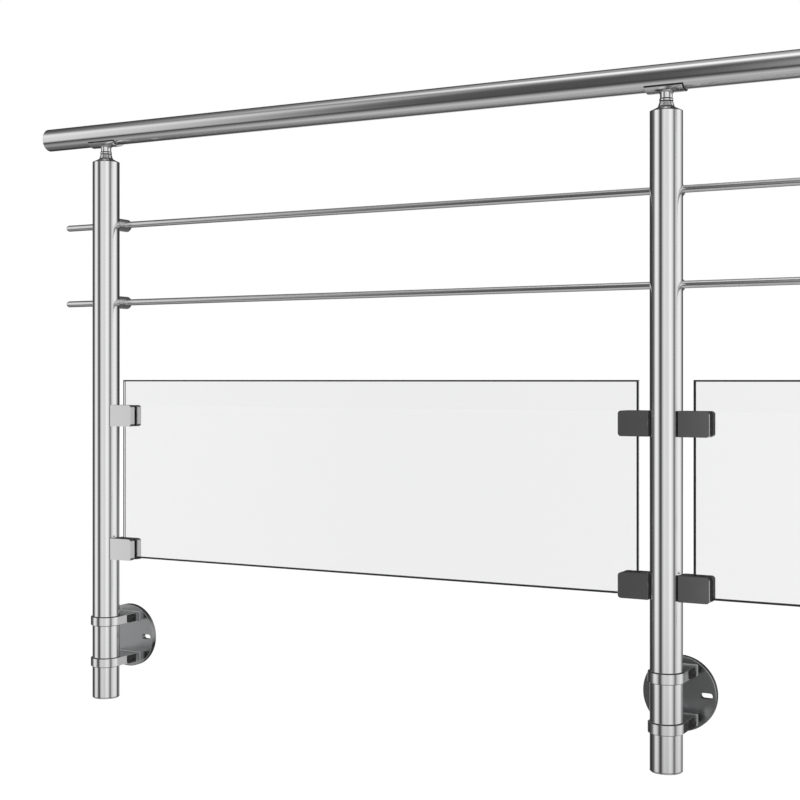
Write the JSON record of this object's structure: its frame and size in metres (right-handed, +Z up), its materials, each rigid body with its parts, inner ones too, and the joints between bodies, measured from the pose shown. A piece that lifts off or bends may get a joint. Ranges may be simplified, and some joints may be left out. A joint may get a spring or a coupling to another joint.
{
  "type": "side-mounted glass railing",
  "caption": "Railing of round steel posts strapped to wall flanges, with a round handrail, slim rods and clamped clear glass panes between the posts",
  "frame": {"origin": "centre of the middle flange's wall face", "axes": "X along the rail, +Y towards the wall, +Z up"},
  "size_m": [2.496, 0.1045, 1.0937],
  "materials": {
    "rail_steel": "satin stainless steel, ground lengthways",
    "post_steel": "satin stainless steel, ground round the tube",
    "rod_steel": "satin stainless steel, ground lengthways",
    "fitting_steel": "turned stainless steel, satin",
    "flange_steel": "satin stainless steel plate with welded bars",
    "strap_steel": "satin stainless steel band",
    "clamp_steel": "cast stainless steel, ground satin",
    "screw_steel": "plain stainless steel",
    "black_screw": "blackened, low gloss",
    "pad_rubber": "matt black rubber",
    "glass": "clear float glass, ground edges"
  },
  "bodies": {
    "root": {"handrail_tube": "rail_steel", "saddle_screws": "screw_steel", "handrail_end_cap_left": "fitting_steel", "handrail_end_cap_right": "fitting_steel", "post_tube_left": "post_steel", "post_foot_cap_left": "fitting_steel", "post_top_cap_left": "fitting_steel", "rail_saddle_left": "fitting_steel", "wall_flange_left": "flange_steel", "post_tube_middle": "post_steel", "post_foot_cap_middle": "fitting_steel", "post_top_cap_middle": "fitting_steel", "rail_saddle_middle": "fitting_steel", "wall_flange_middle": "flange_steel", "post_tube_right": "post_steel", "post_foot_cap_right": "fitting_steel", "post_top_cap_right": "fitting_steel", "rail_saddle_right": "fitting_steel", "wall_flange_right": "flange_steel", "post_strap_left_upper": "strap_steel", "rod_holder_left_upper": "fitting_steel", "post_strap_left_lower": "strap_steel", "rod_holder_left_lower": "fitting_steel", "post_strap_middle_upper": "strap_steel", "rod_holder_middle_upper": "fitting_steel", "post_strap_middle_lower": "strap_steel", "rod_holder_middle_lower": "fitting_steel", "post_strap_right_upper": "strap_steel", "rod_holder_right_upper": "fitting_steel", "post_strap_right_lower": "strap_steel", "rod_holder_right_lower": "fitting_steel", "strap_washers": "black_screw", "strap_screws": "black_screw", "rod_holder_screws": "screw_steel", "rod_upper": "rod_steel", "rod_lower": "rod_steel", "glass_pane_left": "glass", "clamp_pads_left": "pad_rubber", "glass_pane_right": "glass", "clamp_pads_right": "pad_rubber", "clamp_body_left_post_upper": "clamp_steel", "clamp_cover_left_post_upper": "clamp_steel", "clamp_body_left_post_lower": "clamp_steel", "clamp_cover_left_post_lower": "clamp_steel", "clamp_body_middle_post_left_upper": "clamp_steel", "clamp_cover_middle_post_left_upper": "clamp_steel", "clamp_body_middle_post_left_lower": "clamp_steel", "clamp_cover_middle_post_left_lower": "clamp_steel", "clamp_body_middle_post_right_upper": "clamp_steel", "clamp_cover_middle_post_right_upper": "clamp_steel", "clamp_body_middle_post_right_lower": "clamp_steel", "clamp_cover_middle_post_right_lower": "clamp_steel", "clamp_body_right_post_upper": "clamp_steel", "clamp_cover_right_post_upper": "clamp_steel", "clamp_body_right_post_lower": "clamp_steel", "clamp_cover_right_post_lower": "clamp_steel", "clamp_screws": "screw_steel"}
  },
  "joints": []
}
